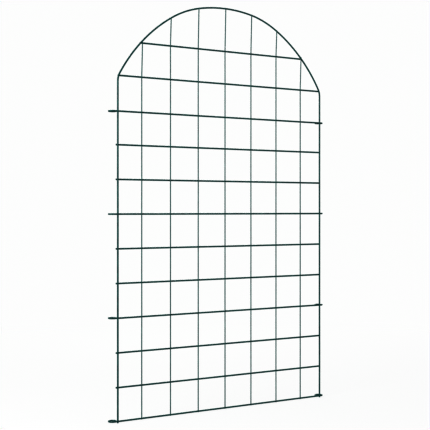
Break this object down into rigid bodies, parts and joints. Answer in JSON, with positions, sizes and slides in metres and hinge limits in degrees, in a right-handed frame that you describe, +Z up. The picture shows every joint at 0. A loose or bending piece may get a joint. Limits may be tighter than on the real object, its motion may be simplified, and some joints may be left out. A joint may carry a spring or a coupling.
{
  "type": "arched garden trellis panel",
  "caption": "Flat arched trellis panel of welded coated steel wire: a bent hoop, a square mesh, and post eyelets curled from some of the horizontal wires.",
  "frame": {"origin": "middle of the panel and of its depth, at the height of the cut feet of the two uprights", "axes": "+X along the panel to the right seen from its front, +Y towards the back where the eyelets are, +Z up to the top of the arch"},
  "size_m": [0.8064, 0.0328, 1.2347],
  "materials": {
    "wire_coat": "semi-gloss dark moss green powder coat on steel wire",
    "weld_coat": "the same coat, slightly thicker and rougher over the welds"
  },
  "bodies": {
    "root": {"arch_cross_wire_row_11": "wire_coat", "cross_wire_row_01": "wire_coat", "cross_wire_row_02": "wire_coat", "cross_wire_row_04": "wire_coat", "cross_wire_row_05": "wire_coat", "cross_wire_row_07": "wire_coat", "cross_wire_row_08": "wire_coat", "cross_wire_row_10": "wire_coat", "eyelet_wire_row_00": "wire_coat", "eyelet_wire_row_03": "wire_coat", "eyelet_wire_row_06": "wire_coat", "eyelet_wire_row_09": "wire_coat", "hoop_wire": "wire_coat", "infill_wire_1": "wire_coat", "infill_wire_2": "wire_coat", "infill_wire_3": "wire_coat", "infill_wire_4": "wire_coat", "infill_wire_5": "wire_coat", "infill_wire_6": "wire_coat", "infill_wire_7": "wire_coat", "welds_arch": "weld_coat", "welds_row_00": "weld_coat", "welds_row_01": "weld_coat", "welds_row_02": "weld_coat", "welds_row_03": "weld_coat", "welds_row_04": "weld_coat", "welds_row_05": "weld_coat", "welds_row_06": "weld_coat", "welds_row_07": "weld_coat", "welds_row_08": "weld_coat", "welds_row_09": "weld_coat", "welds_row_10": "weld_coat", "welds_row_11": "weld_coat"}
  },
  "joints": []
}
